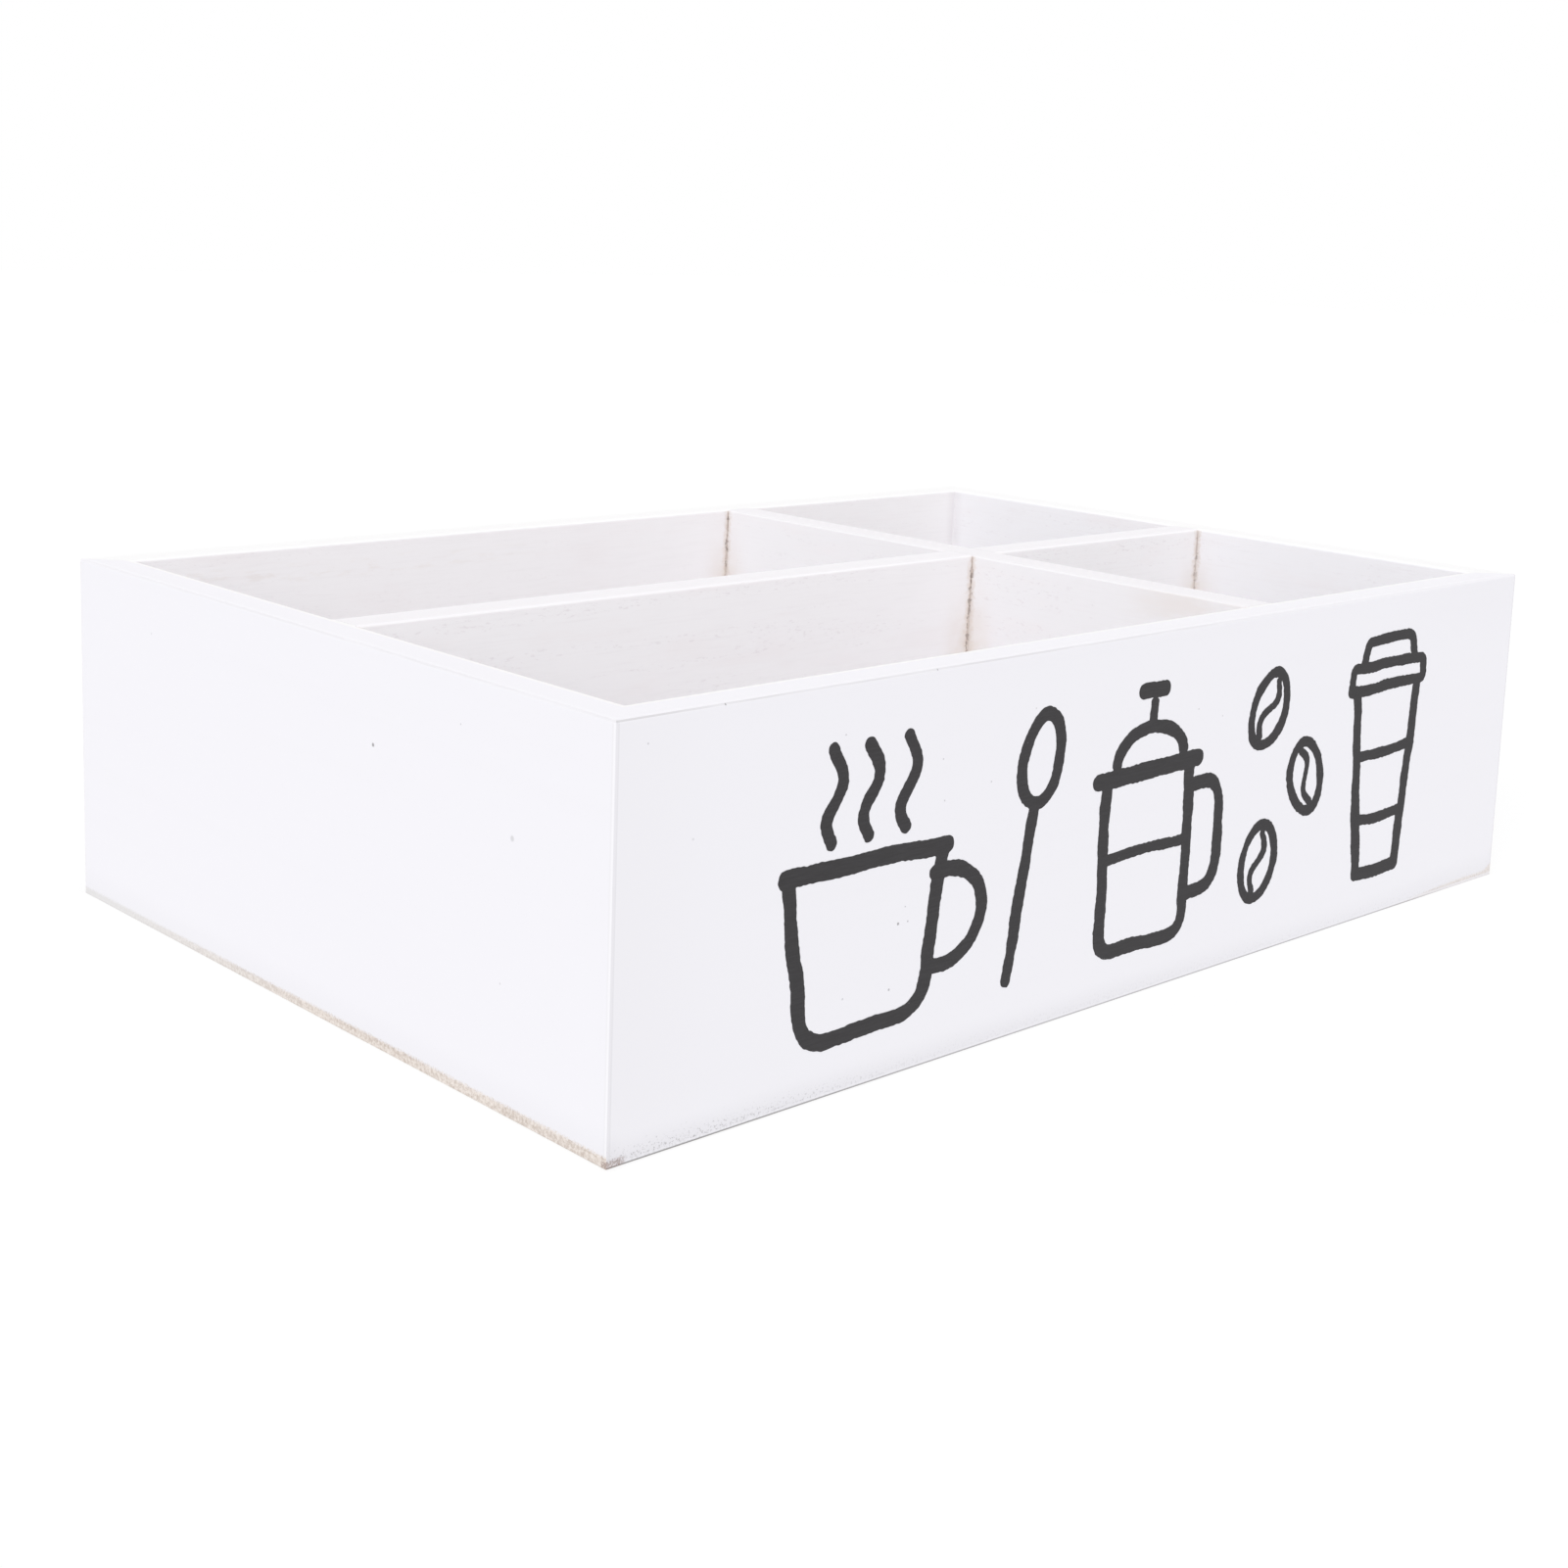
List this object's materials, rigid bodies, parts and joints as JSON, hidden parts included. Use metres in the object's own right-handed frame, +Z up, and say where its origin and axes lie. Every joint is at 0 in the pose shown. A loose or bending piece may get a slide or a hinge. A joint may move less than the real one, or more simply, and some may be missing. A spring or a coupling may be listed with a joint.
{
  "type": "coffee station organizer",
  "caption": "Open-topped white-painted wooden counter tray whose crossed dividers make long and square bays for cups, pods, sachets and stirrers.",
  "frame": {"origin": "middle of the tray's footprint, on the surface it stands on", "axes": "+X to the right along the front, the front looks along -Y, +Z up"},
  "size_m": [0.33, 0.224, 0.09],
  "materials": {
    "painted_wood": "thin satin white paint over solid wood",
    "plywood": "bare plywood below, white paint inside the bays",
    "brad_steel": "bright wire",
    "print_ink": "matt charcoal stencil paint of the motif on the front"
  },
  "bodies": {
    "root": {"front_board": "painted_wood", "back_board": "painted_wood", "left_board": "painted_wood", "right_board": "painted_wood", "base_panel": "plywood", "long_divider": "painted_wood", "cross_divider": "painted_wood", "corner_brads": "brad_steel", "divider_brads": "brad_steel", "base_brads": "brad_steel", "brad_filler": "painted_wood"}
  },
  "joints": []
}
